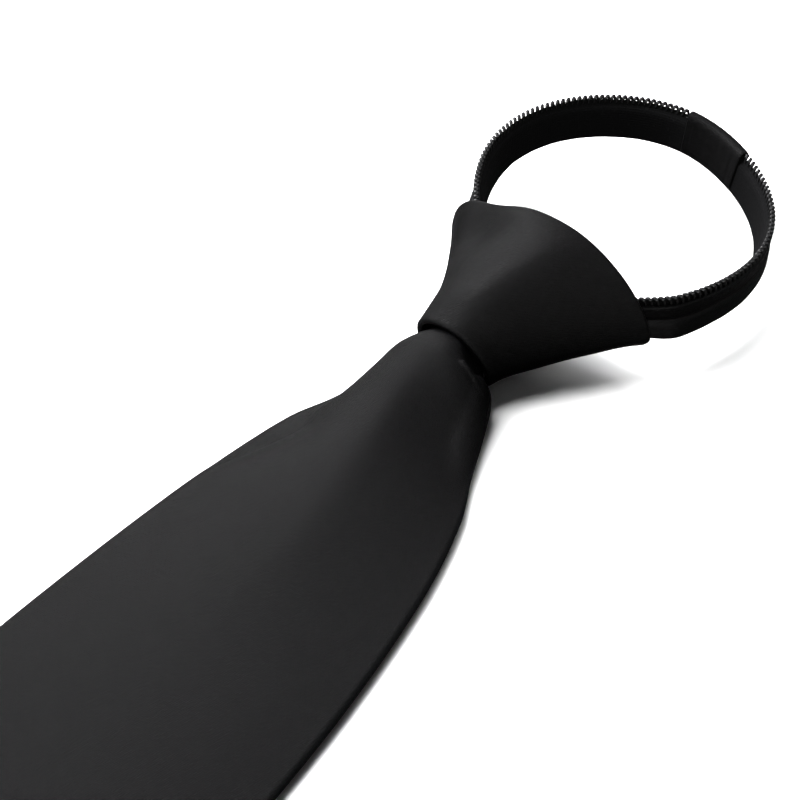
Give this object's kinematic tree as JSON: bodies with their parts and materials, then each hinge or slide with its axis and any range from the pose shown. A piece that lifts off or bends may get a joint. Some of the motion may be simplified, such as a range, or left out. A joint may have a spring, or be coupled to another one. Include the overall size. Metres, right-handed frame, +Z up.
{
  "type": "pre-tied zipper necktie",
  "caption": "Ready-tied black satin necktie with a hollow knot and an adjustable zipper neck loop, lying face up.",
  "frame": {"origin": "centre of the bounding box at the surface that the tie lies on", "axes": "+Z up from that surface, +Y along the tie from the blade's tip to the neck loop, +X to the right seen from above with the loop at the top"},
  "size_m": [0.08, 0.5364, 0.0304],
  "materials": {
    "satin": "black polyester satin with a soft sheen",
    "woven_tape": "matt black woven tape",
    "nylon_coil": "black nylon monofilament",
    "slider_enamel": "black enamel"
  },
  "bodies": {
    "root": {"knot": "satin", "front_blade": "satin", "zipper_tail": "woven_tape", "slider": "slider_enamel", "zipper_tape_right": "woven_tape", "zipper_coil_right": "nylon_coil", "facing_right": "satin", "zipper_tape_left": "woven_tape", "zipper_coil_left": "nylon_coil", "facing_left": "satin", "neck_joint": "satin"}
  },
  "joints": []
}
